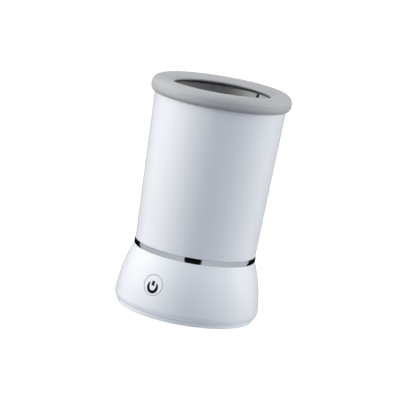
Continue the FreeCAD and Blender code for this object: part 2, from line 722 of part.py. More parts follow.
def button_board():
    board = button_block((-17.4, 17.4), (-7.0, 7.0), *BUTTON_BOARD)
    return board.cut(Part.makeCompound([button_disc(1.0, *BUTTON_BOARD, x) for x in BUTTON_POSTS]))


def button_board_screws():
    back = BUTTON_BOARD[1]
    return Part.makeCompound([fused(button_disc(1.9, back, back + 1.2, x), button_disc(1.0, 8.4, back, x))
                              for x in BUTTON_POSTS])


# ---- base: leads between the boards, cell and motor ---------------------------------------------

LEAD = 0.7
LEAD_BEND = 3.0
LEAD_Z = BOARD_Z[1] + 1.8


def battery_leads():
    """A pair from the cell's protection board, round past the motor, to the right-hand connector."""
    return Part.makeCompound([
        bent_wire([(CELL_HALF + 0.5, CELL_Y - s, LEAD_Z), (38.0 + s, CELL_Y - s, LEAD_Z),
                   (38.0 + s, 14.0 + 0.6 * s, LEAD_Z), (10.0 + s, 29.0 + 0.6 * s, LEAD_Z),
                   (10.0 + s, 33.4, LEAD_Z)], LEAD, LEAD_BEND) for s in (-0.9, 0.9)])


def button_leads():
    """A pair from the back of the button's board, over the cell's end, to the left-hand connector."""
    pair = []
    for s in (-0.9, 0.9):
        start = at_button(-10.0 + s, 4.0, BUTTON_BOARD[1])
        corner = at_button(-10.0 + s, 4.0, BUTTON_BOARD[1] + 3.5 + 0.8 * s)
        pair.append(bent_wire([start, corner, (-37.0 + s, -36.0 + 0.8 * s, 27.0), (-37.0 + s, -20.0, LEAD_Z),
                               (-37.0 + s, 14.0 - 0.6 * s, LEAD_Z), (-10.0 + s, 29.0 - 0.6 * s, LEAD_Z),
                               (-10.0 + s, 33.4, LEAD_Z)], LEAD, 2.0))
    return Part.makeCompound(pair)


def motor_leads():
    """A pair from the motor's end cap, up past the board's edge, to the middle connector."""
    return Part.makeCompound([
        bent_wire([(MOTOR[0] + x, MOTOR[1] + MOTOR_RADIUS, 6.4), (MOTOR[0] + x, 29.6, 6.4),
                   (x * 0.6, 29.6, LEAD_Z), (x * 0.6, 33.4, LEAD_Z)], LEAD, 1.8) for x in (-1.6, 1.6)])


# ---- base: charging port cover ------------------------------------------------------------------


def port_cover():
    """Soft cover over the port: a skin that follows the bell, and a plug that fills the opening."""
    low = (-FLAP_WIDTH / 2, 50, FLAP_BOTTOM)
    high = (FLAP_WIDTH / 2, 70, FLAP_BOTTOM + FLAP_HEIGHT)
    skin = rounded_block(low, high, 2.4, "y").common(bell_solid()).cut(bell_solid(FLAP_THICK))
    plug = rounded_block((-5.9, 59.2, PORT_Z - 3.2), (5.9, 61.6, PORT_Z + 3.2), 1.2, "y")
    return fused(skin, plug)


# ---- cup ----------------------------------------------------------------------------------------


def cup_shell():
    """The water cup: tapered tube, floor, hub for the shaft, and the spigot that plugs into the base."""
    cup = turned((SPIGOT_RADIUS, SPIGOT_BOTTOM), (SPIGOT_RADIUS, TUBE_BOTTOM),
                 (TUBE_BOTTOM_RADIUS, TUBE_BOTTOM), (TUBE_TOP_RADIUS, TUBE_TOP - 0.8),
                 ((TUBE_TOP_RADIUS - 0.25, TUBE_TOP - 0.2), (TUBE_TOP_RADIUS - 0.8, TUBE_TOP)),
                 (TUBE_TOP_RADIUS - TUBE_WALL, TUBE_TOP), (TUBE_BOTTOM_RADIUS - TUBE_WALL, CUP_FLOOR_TOP + 3),
                 ((TUBE_BOTTOM_RADIUS - TUBE_WALL - 0.9, CUP_FLOOR_TOP + 0.9),
                  (TUBE_BOTTOM_RADIUS - TUBE_WALL - 3, CUP_FLOOR_TOP)),
                 (8.5, CUP_FLOOR_TOP), (8.5, 65.0), (6.5, 65.0), (6.5, 61.5), (5.0, 61.5), (5.0, 56.0),
                 (8.5, 56.0), (8.5, CUP_FLOOR_BOTTOM), (47.3, CUP_FLOOR_BOTTOM), (47.3, SPIGOT_BOTTOM))
    return cup.cut(ring(SPIGOT_RADIUS + 1, 48.7, 50.4, 52.6))


def cup_seal_ring():
    """O-ring in the spigot's groove."""
    band = disc(SOCKET_RADIUS - 0.05, 50.0, 53.0)
    return Part.makeTorus(49.85, 1.05, Vector(0, 0, 51.5)).common(band)


def cup_bush():
    return ring(5.0, SHAFT + RUNNING, 56.0, 61.5)


def cup_shaft_seal():
    return lip_seal(61.5, 65.0)


# ---- rotating sleeve and bristles ---------------------------------------------------------------

DRAIN_CIRCLE = 22.5
NOTCH_WIDTH = 3.3
NOTCH_DEPTH = 9.0
NOTCH_ANGLES = (76.3, 196.3, 316.3)


def drain_places():
    return [on_circle(DRAIN_CIRCLE, 15 + 30 * k) for k in range(12)]


def brush_sleeve():
    """Carrier that turns inside the cup: wall, floor with drain holes, hub, and three notches in the rim."""
    sleeve = turned((SHAFT, 65.6), (9.0, 65.6), (9.0, SLEEVE_BOTTOM),
                    (SLEEVE_RADIUS - 2, SLEEVE_BOTTOM),
                    ((SLEEVE_RADIUS - 0.6, SLEEVE_BOTTOM + 0.6), (SLEEVE_RADIUS, SLEEVE_BOTTOM + 2)),
                    (SLEEVE_RADIUS, SLEEVE_TOP - 0.6), (SLEEVE_RADIUS - 0.6, SLEEVE_TOP),
                    (SLEEVE_INNER + 0.4, SLEEVE_TOP), (SLEEVE_INNER, SLEEVE_TOP - 0.4),
                    (SLEEVE_INNER, SLEEVE_FLOOR), (9.0, SLEEVE_FLOOR),
                    (8.0, 76.0), (SHAFT, 76.0))
    cutters = [disc(2.5, SLEEVE_BOTTOM - 1, SLEEVE_FLOOR + 1, at) for at in drain_places()]
    for angle in NOTCH_ANGLES:
        notch = rounded_block((40.0, -NOTCH_WIDTH / 2, SLEEVE_TOP - NOTCH_DEPTH),
                              (50.0, NOTCH_WIDTH / 2, SLEEVE_TOP + 5), 1.4, "x")
        notch.rotate(Vector(0, 0, 0), Vector(0, 0, 1), angle)
        cutters.append(notch)
    return sleeve.cut(Part.makeCompound(cutters))


def bristle_liner():
    """Silicone skin inside the sleeve, one piece with its rows of inward bristles."""
    skin = ring(SLEEVE_INNER, LINER_INNER, LINER_BOTTOM, LINER_TOP)
    root = LINER_INNER + 0.5
    bristles = []
    for row in range(BRISTLE_ROWS):
        z = BRISTLE_FIRST_ROW + row * BRISTLE_ROW_PITCH
        for k in range(BRISTLES_PER_ROW):
            x, y = on_circle(1.0, 360 * (k + 0.3 + 0.5 * (row % 2)) / BRISTLES_PER_ROW)
            bristles.append(Part.makeCone(BRISTLE_BASE, BRISTLE_TIP, root - BRISTLE_TIP_CIRCLE,
                                          Vector(x * root, y * root, z), Vector(-x, -y, 0)))
    return skin.multiFuse(bristles)


def floor_bristles():
    """Silicone disc on the sleeve's floor with upright bristles."""
    mat = ring(SLEEVE_INNER - 0.2, 16.0, SLEEVE_FLOOR, LINER_BOTTOM - 0.1)
    drains = [disc(2.5, SLEEVE_FLOOR - 1, LINER_BOTTOM + 1, at) for at in drain_places()]
    mat = mat.cut(Part.makeCompound(drains))
    top = LINER_BOTTOM - 0.6
    bristles = []
    for radius, count in ((27.5, 15), (33.0, 20), (38.5, 24)):
        for k in range(count):
            root = Vector(*on_circle(radius, 360 * k / count), top)
            bristles.append(Part.makeCone(BRISTLE_BASE, BRISTLE_TIP, 14.0, root))
    return mat.multiFuse(bristles)


def driven_shaft():
    return disc(SHAFT, 53.2, 78.0)


def thrust_washer():
    return ring(6.0, SHAFT, 55.2, 55.8)


def hub_nut():
    """Round nut that clamps the sleeve's hub to the shaft."""
    nut = turned((0, 76.0), (7.2, 76.0), (7.2, 79.4), ((6.6, 81.6), (5.0, 82.6)), (0, 82.6))
    for k in range(8):
        nut = nut.cut(disc(0.9, 76.0, 84.0, on_circle(7.6, 45 * k)))
    return nut.cut(disc(SHAFT, 76.0, 78.0))


# ---- soft rim collar ----------------------------------------------------------------------------


def rim_collar():
    """Soft ring over the cup's rim: rounded outside, a lip that leans in to the mouth, and a groove below."""
    groove_outer = TUBE_TOP_RADIUS + 0.1
    skirt_outer = TUBE_TOP_RADIUS - TUBE_WALL - 0.35
    return turned((groove_outer, COLLAR_BOTTOM), (57.4, COLLAR_BOTTOM),
                  ((59.6, 188.3), (COLLAR_RADIUS, 191.9)), ((58.8, 197.4), (53.6, TOTAL_HEIGHT)),
                  ((48.2, 199.0), (43.1, 197.2)), ((MOUTH_RADIUS, 195.9), (42.9, 194.6)),
                  (49.4, 194.2), ((50.2, 193.8), (50.6, 193.0)), (50.6, 184.4), (skirt_outer - 0.6, 184.4),
                  (skirt_outer, 185.2), (skirt_outer, TUBE_TOP + 0.2), (groove_outer, TUBE_TOP + 0.2))


# ---- write the pieces ---------------------------------------------------------------------------

PIECES = {
    "base_shell": base_shell,
    "bottom_cover": bottom_cover,
    "foot_pads": foot_pads,
    "trim_ring": trim_ring,
    "cover_screws": cover_screws,
    "gearbox_plate": gearbox_plate,
    "gearbox_cover": gearbox_cover,
    "gearbox_screws": gearbox_screws,
    "output_bush": output_bush,
    "lower_bush": lower_bush,
    "output_seal": lambda: lip_seal(DECK_BOTTOM, 47.2),
    "gear_axle_first": lambda: axle(AXLE_A),
    "gear_axle_second": lambda: axle(AXLE_B),
    "first_reduction_gear": first_gear,
    "second_reduction_gear": second_gear,
    "output_gear": output_gear,
    "output_shaft": output_shaft,
    "drive_dog": drive_dog,
    "motor_can": motor_can,
    "motor_end_cap": motor_end_cap,
    "motor_magnets": motor_magnets,
    "motor_armature": armature,
    "motor_shaft": motor_shaft,
    "motor_pinion": motor_pinion,
    "motor_screws": motor_screws,
    "battery_cell": battery_cell,
    "battery_cradle": battery_cradle,
    "battery_strap": battery_strap,
    "protection_board": protection_board,
    "main_board": main_board,
    "board_components": board_components,
    "board_screws": board_screws,
    "usb_socket": usb_socket,
    "port_cover": port_cover,
    "power_button": power_button,
    "power_icon": power_icon,
    "button_membrane": button_membrane,
    "switch_plunger": switch_plunger,
    "switch_body": switch_body,
    "button_board": button_board,
    "button_board_screws": button_board_screws,
    "battery_leads": battery_leads,
    "motor_leads": motor_leads,
    "button_leads": button_leads,
    "cup_shell": cup_shell,
    "cup_seal_ring": cup_seal_ring,
    "cup_bush": cup_bush,
    "cup_shaft_seal": cup_shaft_seal,
    "brush_sleeve": brush_sleeve,
    "bristle_liner": bristle_liner,
    "floor_bristles": floor_bristles,
    "driven_shaft": driven_shaft,
    "driven_dog": driven_dog,
    "thrust_washer": thrust_washer,
    "hub_nut": hub_nut,
    "rim_collar": rim_collar,
}


def main():
    os.makedirs("parts", exist_ok=True)
    for name, make in PIECES.items():
        shape = make()
        solids = shape.Solids
        for solid in solids:
            if not solid.isValid() or solid.Volume <= 0:
                raise ValueError(f"{name} has a bad solid")
        whole = solids[0] if len(solids) == 1 else Part.makeCompound(solids)
        whole.exportStep(f"parts/{name}.step")
        print(f"{name}: {len(solids)} solid(s), {whole.Volume:.1f} mm3")
    print(f"button: at {BUTTON_POINT}, pressed along {BUTTON_OUT * -1}")
    print(f"port cover hinge: y {bell_radius(FLAP_BOTTOM):.3f}, z {FLAP_BOTTOM}")
    print(f"motor axis {MOTOR}, first axle {AXLE_A}, second axle {AXLE_B}")


main()
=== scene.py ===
import json
import math
import random

import bmesh
import bpy
from mathutils import Matrix, Vector

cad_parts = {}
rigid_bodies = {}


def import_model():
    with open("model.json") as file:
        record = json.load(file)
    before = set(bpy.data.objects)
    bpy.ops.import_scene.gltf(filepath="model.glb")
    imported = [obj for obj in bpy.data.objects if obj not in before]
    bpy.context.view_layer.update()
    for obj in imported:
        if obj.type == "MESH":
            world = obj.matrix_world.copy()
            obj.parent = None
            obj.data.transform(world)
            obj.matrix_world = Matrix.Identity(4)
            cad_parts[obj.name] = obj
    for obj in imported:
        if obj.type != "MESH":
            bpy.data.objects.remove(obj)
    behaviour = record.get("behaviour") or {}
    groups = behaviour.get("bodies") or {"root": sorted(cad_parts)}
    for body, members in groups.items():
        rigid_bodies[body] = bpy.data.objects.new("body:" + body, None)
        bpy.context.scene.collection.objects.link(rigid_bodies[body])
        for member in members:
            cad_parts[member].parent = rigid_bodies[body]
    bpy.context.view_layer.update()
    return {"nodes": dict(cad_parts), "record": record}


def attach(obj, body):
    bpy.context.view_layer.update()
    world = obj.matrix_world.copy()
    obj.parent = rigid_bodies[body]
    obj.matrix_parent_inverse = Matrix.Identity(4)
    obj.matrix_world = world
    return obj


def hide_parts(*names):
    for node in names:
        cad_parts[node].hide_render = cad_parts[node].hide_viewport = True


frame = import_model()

MM = 0.001
NODES = frame["nodes"]
SCENE = bpy.context.scene

# ---- camera -------------------------------------------------------------------------------------

CAMERA_AZIMUTH = math.radians(29.8)   # from the button's side, -Y, towards +X
CAMERA_DISTANCE = 1.8542
CAMERA_HEIGHT = 0.45688
CAMERA_ROLL = 0.17052
CAMERA_SENSOR = 36.0                  # millimetres
CAMERA_LENS = 190.385                 # millimetres
AIM = Vector((0, 0, 0.1))
AIM_OFFSET = (0.00266, -0.00394)      # turns the camera a little right of and below the aim point

CAMERA_PLACE = Vector((CAMERA_DISTANCE * math.sin(CAMERA_AZIMUTH),
                       -CAMERA_DISTANCE * math.cos(CAMERA_AZIMUTH), CAMERA_HEIGHT))
TOWARDS = Vector((CAMERA_PLACE.x, CAMERA_PLACE.y, 0)).normalized()
SIDEWAYS = Vector((-TOWARDS.y, TOWARDS.x, 0))


def add_camera():
    """A long lens at the picture's height, side and roll."""
    forward = (AIM - CAMERA_PLACE).normalized()
    right = forward.cross(Vector((0, 0, 1))).normalized()
    up = right.cross(forward)
    forward = (forward + right * AIM_OFFSET[0] + up * AIM_OFFSET[1]).normalized()
    right = forward.cross(Vector((0, 0, 1))).normalized()
    up = right.cross(forward)
    across = right * math.cos(CAMERA_ROLL) + up * math.sin(CAMERA_ROLL)
    upward = up * math.cos(CAMERA_ROLL) - right * math.sin(CAMERA_ROLL)
    data = bpy.data.cameras.new("camera")
    data.sensor_width = CAMERA_SENSOR
    data.lens = CAMERA_LENS
    data.clip_end = 100.0
    camera = bpy.data.objects.new("camera", data)
    SCENE.collection.objects.link(camera)
    camera.matrix_world = Matrix((
        (across.x, upward.x, -forward.x, CAMERA_PLACE.x),
        (across.y, upward.y, -forward.y, CAMERA_PLACE.y),
        (across.z, upward.z, -forward.z, CAMERA_PLACE.z),
        (0, 0, 0, 1)))
    SCENE.camera = camera


add_camera()

# ---- materials ----------------------------------------------------------------------------------

GRAIN_DEPTH = 0.00004         # metres, the relief of a moulded surface's grain
COAT_ROUGHNESS = 0.12
SUBSURFACE_DEPTH = 0.002      # metres
SUBSURFACE_RADIUS = (1.0, 0.9, 0.8)
GLOSS_PATCH = 3.1             # gloss changes over patches this many times smaller than tone does


def new_material(name):
    material = bpy.data.materials.new(name)
    material.use_nodes = True
    nodes = material.node_tree.nodes
    shader = nodes["Principled BSDF"]
    return material, nodes, material.node_tree.links, shader


def noise(nodes, links, scale, detail=4.0, rough=0.5, stretch=None):
    """A noise texture in the object's own coordinates; scale is in cycles for each metre."""
    coords = nodes.new("ShaderNodeTexCoord")
    texture = nodes.new("ShaderNodeTexNoise")
    texture.inputs["Scale"].default_value = scale
    texture.inputs["Detail"].default_value = detail
    texture.inputs["Roughness"].default_value = rough
    if stretch:
        mapping = nodes.new("ShaderNodeMapping")
        mapping.inputs["Scale"].default_value = stretch
        links.new(coords.outputs["Object"], mapping.inputs["Vector"])
        links.new(mapping.outputs["Vector"], texture.inputs["Vector"])
    else:
        links.new(coords.outputs["Object"], texture.inputs["Vector"])
    return texture


def spread(nodes, links, source, low, high):
    """Maps a noise's middle range to low..high."""
    remap = nodes.new("ShaderNodeMapRange")
    remap.inputs["From Min"].default_value = 0.3
    remap.inputs["From Max"].default_value = 0.7
    remap.inputs["To Min"].default_value = low
    remap.inputs["To Max"].default_value = high
    links.new(source.outputs["Fac"], remap.inputs["Value"])
    return remap.outputs["Result"]


def shade(color, factor):
    """The colour made lighter or darker, with its alpha."""
    return (*[min(1.0, c * factor) for c in color], 1.0)


def finish_of(name, color, rough, vary=0.02, rough_vary=0.04, patch=22.0, grain=1400.0, bump=0.05,
              metallic=0.0, coat=0.0, sheen=0.0, specular=0.5, subsurface=0.0, stretch=None):
    """Moulded, rubbed or rolled surface: drifting tone, uneven gloss and a fine grain."""
    material, nodes, links, shader = new_material(name)
    drift = noise(nodes, links, patch, 3.0)
    blend = nodes.new("ShaderNodeMix")
    blend.data_type = "RGBA"
    blend.inputs["A"].default_value = shade(color, 1 - vary)
    blend.inputs["B"].default_value = shade(color, 1 + vary)
    links.new(drift.outputs["Fac"], blend.inputs["Factor"])
    links.new(blend.outputs["Result"], shader.inputs["Base Color"])
    gloss = noise(nodes, links, patch * GLOSS_PATCH, 5.0, 0.6, stretch)
    links.new(spread(nodes, links, gloss, rough - rough_vary, rough + rough_vary), shader.inputs["Roughness"])
    texture = noise(nodes, links, grain, 3.0, 0.6, stretch)
    bumping = nodes.new("ShaderNodeBump")
    bumping.inputs["Strength"].default_value = bump
    bumping.inputs["Distance"].default_value = GRAIN_DEPTH
    links.new(texture.outputs["Fac"], bumping.inputs["Height"])
    links.new(bumping.outputs["Normal"], shader.inputs["Normal"])
    shader.inputs["Metallic"].default_value = metallic
    shader.inputs["Coat Weight"].default_value = coat
    shader.inputs["Coat Roughness"].default_value = COAT_ROUGHNESS
    shader.inputs["Sheen Weight"].default_value = sheen
    shader.inputs["Specular IOR Level"].default_value = specular
    if subsurface:
        shader.inputs["Subsurface Weight"].default_value = subsurface
        shader.inputs["Subsurface Radius"].default_value = SUBSURFACE_RADIUS
        shader.inputs["Subsurface Scale"].default_value = SUBSURFACE_DEPTH
    return material


WHITE = (0.775, 0.800, 0.870)
PLASTIC = dict(vary=0.012, rough_vary=0.03, patch=14.0, grain=1700.0, bump=0.035)

LOOKS = {
    "body_plastic": finish_of("body_plastic", WHITE, 0.36, coat=0.12, **PLASTIC),
    "cover_plastic": finish_of("cover_plastic", (0.86, 0.88, 0.94), 0.42, coat=0.05, **PLASTIC),
    "foot_rubber": finish_of("foot_rubber", (0.34, 0.35, 0.37), 0.75, grain=900.0, bump=0.2, sheen=0.1),
    "trim_chrome": finish_of("trim_chrome", (0.80, 0.82, 0.86), 0.07, vary=0.01, rough_vary=0.02,
                             metallic=1.0, bump=0.01),
    "screw_steel": finish_of("screw_steel", (0.55, 0.55, 0.56), 0.32, metallic=1.0, patch=300.0,
                             rough_vary=0.08),
    "gearbox_plastic": finish_of("gearbox_plastic", (0.10, 0.105, 0.115), 0.5, grain=1100.0, bump=0.15),
    "bush_bronze": finish_of("bush_bronze", (0.48, 0.30, 0.13), 0.42, metallic=1.0, patch=200.0, grain=2600.0,
                             bump=0.2),
    "seal_rubber": finish_of("seal_rubber", (0.018, 0.018, 0.019), 0.48, sheen=0.15, grain=1200.0, bump=0.12),
    "shaft_steel": finish_of("shaft_steel", (0.62, 0.63, 0.64), 0.22, metallic=1.0, stretch=(1, 1, 30),
                             patch=120.0),
    "gear_acetal": finish_of("gear_acetal", (0.78, 0.77, 0.71), 0.42, vary=0.02, subsurface=0.2),
    "dog_acetal": finish_of("dog_acetal", (0.045, 0.047, 0.05), 0.45, grain=900.0, bump=0.12),
    "washer_acetal": finish_of("washer_acetal", (0.78, 0.77, 0.71), 0.45),
    "motor_steel": finish_of("motor_steel", (0.52, 0.52, 0.53), 0.3, metallic=1.0, stretch=(1, 1, 20),
                             patch=90.0),
    "end_cap_plastic": finish_of("end_cap_plastic", (0.02, 0.02, 0.021), 0.5, bump=0.15),
    "magnet_ferrite": finish_of("magnet_ferrite", (0.035, 0.035, 0.038), 0.62, grain=2200.0, bump=0.3),
    "armature_iron": finish_of("armature_iron", (0.33, 0.29, 0.25), 0.45, metallic=0.9, stretch=(1, 1, 60),
                               grain=300.0),
    "pinion_brass": finish_of("pinion_brass", (0.62, 0.44, 0.16), 0.28, metallic=1.0, patch=220.0),
    "cell_sleeve": finish_of("cell_sleeve", (0.04, 0.17, 0.34), 0.34, coat=0.2, patch=60.0),
    "cradle_plastic": finish_of("cradle_plastic", (0.022, 0.022, 0.024), 0.5, bump=0.15),
    "board_laminate": finish_of("board_laminate", (0.012, 0.11, 0.04), 0.38, vary=0.12, patch=500.0,
                                coat=0.3),
    "component_epoxy": finish_of("component_epoxy", (0.02, 0.02, 0.021), 0.55, bump=0.1),
    "socket_steel": finish_of("socket_steel", (0.62, 0.62, 0.63), 0.25, metallic=1.0, patch=150.0),
    "port_silicone": finish_of("port_silicone", (0.73, 0.75, 0.81), 0.58, sheen=0.15, bump=0.08,
                               subsurface=0.1),
    "button_plastic": finish_of("button_plastic", WHITE, 0.36, coat=0.1, **PLASTIC),
    "icon_ink": finish_of("icon_ink", (0.002, 0.0022, 0.0032), 0.42, vary=0.05, patch=300.0, specular=0.2),
    "plunger_plastic": finish_of("plunger_plastic", (0.02, 0.02, 0.021), 0.45),
    "lead_insulation": finish_of("lead_insulation", (0.36, 0.02, 0.015), 0.42, patch=200.0, bump=0.08),
    "sleeve_plastic": finish_of("sleeve_plastic", (0.232, 0.227, 0.222), 0.5, rough_vary=0.05, bump=0.08),
    "bristle_silicone": finish_of("bristle_silicone", (0.27, 0.265, 0.26), 0.56, sheen=0.15, bump=0.08,
                                  subsurface=0.15),
    "collar_silicone": finish_of("collar_silicone", (0.418, 0.427, 0.460), 0.50, rough_vary=0.05, patch=30.0,
                                 grain=1300.0, bump=0.10, sheen=0.25),
}

SLOT_OF = {part["node"]: part["material_slot"] for part in frame["record"]["subparts"]}


def dress_cad_nodes():
    """The look of each node's slot, on the CAD pieces as packed."""
    for name, piece in NODES.items():
        material = LOOKS[SLOT_OF[name]]
        piece.data.materials.clear()
        piece.data.materials.append(material)


dress_cad_nodes()

# ---- mesh helpers -------------------------------------------------------------------------------


def circle_through(a, middle, b):
    """Centre and radius of the circle through three points of the plane."""
    d = 2 * (a[0] * (middle[1] - b[1]) + middle[0] * (b[1] - a[1]) + b[0] * (a[1] - middle[1]))
    sq = [p[0] ** 2 + p[1] ** 2 for p in (a, middle, b)]
    cx = (sq[0] * (middle[1] - b[1]) + sq[1] * (b[1] - a[1]) + sq[2] * (a[1] - middle[1])) / d
    cy = (sq[0] * (b[0] - middle[0]) + sq[1] * (a[0] - b[0]) + sq[2] * (middle[0] - a[0])) / d
    return cx, cy, math.dist((cx, cy), a)


def arc(a, middle, b, steps):
    """Points from a to b along the circle through middle, without a itself."""
    cx, cy, radius = circle_through(a, middle, b)
    t0, tm, t1 = [math.atan2(p[1] - cy, p[0] - cx) for p in (a, middle, b)]
    turn = (t1 - t0) % (2 * math.pi)
    if (tm - t0) % (2 * math.pi) > turn:
        turn -= 2 * math.pi
    return [(cx + radius * math.cos(t0 + turn * k / steps), cy + radius * math.sin(t0 + turn * k / steps))
            for k in range(1, steps + 1)]


def profile(start, *steps, fine=12):
    """A sampled outline: a step is a point, or a pair (middle, end) for an arc. Millimetres."""
    points = [start]
    for step in steps:
        if isinstance(step[0], tuple):
            points += arc(points[-1], step[0], step[1], fine)
        else:
            points.append(step)
    return points


def lathe(name, points, segments=192, closed=True, matrix=None):
    """A mesh turned about Z from points (radius, height) in millimetres; matrix then places it."""
    mesh = bpy.data.meshes.new(name)
    bm = bmesh.new()
    rings = []
    for radius, height in points:
        if radius < 1e-6:
            rings.append([bm.verts.new((0, 0, height * MM))])
        else:
            rings.append([bm.verts.new((radius * MM * math.cos(2 * math.pi * k / segments),
                                        radius * MM * math.sin(2 * math.pi * k / segments), height * MM))
                          for k in range(segments)])
    pairs = list(zip(rings, rings[1:]))
    if closed:
        pairs.append((rings[-1], rings[0]))
    for low, high in pairs:
        if len(low) == 1 and len(high) == 1:
            continue
        for k in range(segments):
            following = (k + 1) % segments
            if len(low) == 1:
                bm.faces.new((low[0], high[following], high[k]))
            elif len(high) == 1:
                bm.faces.new((low[k], low[following], high[0]))
            else:
                bm.faces.new((low[k], low[following], high[following], high[k]))
    bmesh.ops.recalc_face_normals(bm, faces=bm.faces)
    bm.to_mesh(mesh)
    bm.free()
    if matrix is not None:
        mesh.transform(matrix)
    return mesh


def piece_of(name, mesh, slot, body, *nodes, angle=35.0):
    """Makes the piece, smooth except at corners, riding on its body and standing for its CAD nodes."""
    mesh.materials.clear()
    mesh.materials.append(LOOKS[slot])
    mesh.polygons.foreach_set("use_smooth", [True] * len(mesh.polygons))
    mesh.set_sharp_from_angle(angle=math.radians(angle))
    piece = bpy.data.objects.new(name, mesh)
    SCENE.collection.objects.link(piece)
    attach(piece, body)
    if nodes:
        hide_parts(*nodes)
    return piece


def joined(name, meshes):
    """One mesh from several."""
    bm = bmesh.new()
    for mesh in meshes:
        bm.from_mesh(mesh)
        bpy.data.meshes.remove(mesh)
    whole = bpy.data.meshes.new(name)
    bm.to_mesh(whole)
    bm.free()
    return whole


# ---- soft rim collar ----------------------------------------------------------------------------


def add_collar():
    """Rounded silicone rim with eased lower edges."""
    outline = profile(
        (56.95, 186.8), ((57.03, 186.57), (57.3, 186.5)), ((57.6, 186.55), (57.85, 186.7)),
        ((59.6, 188.4), (60.35, 191.9)),
        ((58.8, 197.4), (53.6, 199.98)), ((48.2, 198.95), (43.1, 197.1)), ((41.92, 195.9), (42.9, 194.62)),
        (49.4, 194.22), ((50.2, 193.8), (50.6, 193.0)), (50.62, 184.9), ((50.9, 184.5), (51.4, 184.42)),
        (53.2, 184.42), ((53.8, 184.6), (54.03, 185.2)), (54.03, 192.7), (56.92, 192.7), fine=14)
    mesh = lathe("rim_collar_soft", outline, 256)
    return piece_of("rim_collar_soft", mesh, "collar_silicone", "collar", "rim_collar", angle=40)


# ---- bristles -----------------------------------------------------------------------------------


BRISTLE_SIDES = 12
ROOT_FLARE = ((-0.3, 0.5), (0.15, 0.35), (0.6, 0.1), (1.3, 0.0))    # height, and how much wider; millimetres
TAPER_STEPS = (0.2, 0.35, 0.5, 0.65, 0.8, 0.9)                      # shares of the length
TIP_ANGLES = (0.0, 0.45, 0.9, 1.25)                                 # up the rounded tip, in radians
TIP_EASE = 0.02


def bristle(base, tip, length, bend, spin, matrix):
    """A tapering bristle along +Z with a flared root and a rounded tip, bending sideways a little."""
    mesh = bpy.data.meshes.new("bristle")
    bm = bmesh.new()
    stations = [(height, base + wider) for height, wider in ROOT_FLARE]
    stations += [(length * t, base + (tip - base) * t) for t in TAPER_STEPS]
    stations += [(length - tip * (1 - math.sin(a)), tip * math.cos(a) + TIP_EASE) for a in TIP_ANGLES]
    rings = []
    sides = BRISTLE_SIDES
    for height, radius in stations:
        shift = bend * (max(0.0, height) / length) ** 2
        x0 = shift * math.cos(spin)
        y0 = shift * math.sin(spin)
        rings.append([bm.verts.new(((x0 + radius * math.cos(2 * math.pi * k / sides)) * MM,
                                    (y0 + radius * math.sin(2 * math.pi * k / sides)) * MM, height * MM))
                      for k in range(sides)])
    for low, high in zip(rings, rings[1:]):
        for k in range(sides):
            bm.faces.new((low[k], low[(k + 1) % sides], high[(k + 1) % sides], high[k]))
    bm.faces.new(list(reversed(rings[0])))
    top = bm.verts.new((bend * math.cos(spin) * MM, bend * math.sin(spin) * MM, length * MM))
    for k in range(sides):
        bm.faces.new((rings[-1][k], rings[-1][(k + 1) % sides], top))
    bmesh.ops.recalc_face_normals(bm, faces=bm.faces)
    bm.to_mesh(mesh)
    bm.free()
    mesh.transform(matrix)
    return mesh


LINER_ROWS = 8
LINER_IN_ROW = 20
LINER_FIRST_ROW = 89.0        # millimetres up from the table
LINER_ROW_STEP = 12.0
LINER_INSIDE = 43.8
LINER_BRISTLE = (1.55, 0.85, 19.6)    # radius at the root and the tip, and length
LINER_BEND = (0.2, 1.0)               # least and most that a bristle's tip leans over
LINER_SPIN = (3.6, 5.8)               # and between which directions, in radians
MAT_BRISTLE = (1.5, 0.85, 13.5)
MAT_BEND = (0.1, 0.6)
MAT_SPIN = (0, 6.28)
MAT_TOP = 69.0
MAT_RINGS = ((27.5, 15), (33.0, 20), (38.5, 24))    # radius, and how many bristles
WEB_CIRCLE = 22.5             # the webs that join the mat's outer and inner rings
WEB_COUNT = 12


def around(radius, k, count):
    """A place on a circle about the axis, in metres, the k-th of count."""
    angle = 2 * math.pi * k / count
    return Vector((radius * MM * math.cos(angle), radius * MM * math.sin(angle), 0))


def add_liner():
    """Silicone skin with its rows of inward bristles; each leans a little, as moulded silicone does."""
    rng = random.Random(7)
    skin = lathe("skin", profile((44.95, 69.25), (44.95, 183.9), ((44.4, 183.98), (43.85, 183.5)),
                                 (43.82, 69.6), ((44.1, 69.3), (44.6, 69.25)), fine=5), 192)
    parts = [skin]
    for row in range(LINER_ROWS):
        height = (LINER_FIRST_ROW + LINER_ROW_STEP * row) * MM
        for k in range(LINER_IN_ROW):
            root = around(LINER_INSIDE, k + 0.3 + 0.5 * (row % 2), LINER_IN_ROW)
            x, y, _ = root.normalized()
            turn = Matrix(((-y, 0, -x, root.x), (x, 0, -y, root.y), (0, 1, 0, height), (0, 0, 0, 1)))
            parts.append(bristle(*LINER_BRISTLE, rng.uniform(*LINER_BEND), rng.uniform(*LINER_SPIN), turn))
    return piece_of("bristle_liner_soft", joined("bristle_liner_soft", parts), "bristle_silicone", "brush",
                    "bristle_liner", angle=50)


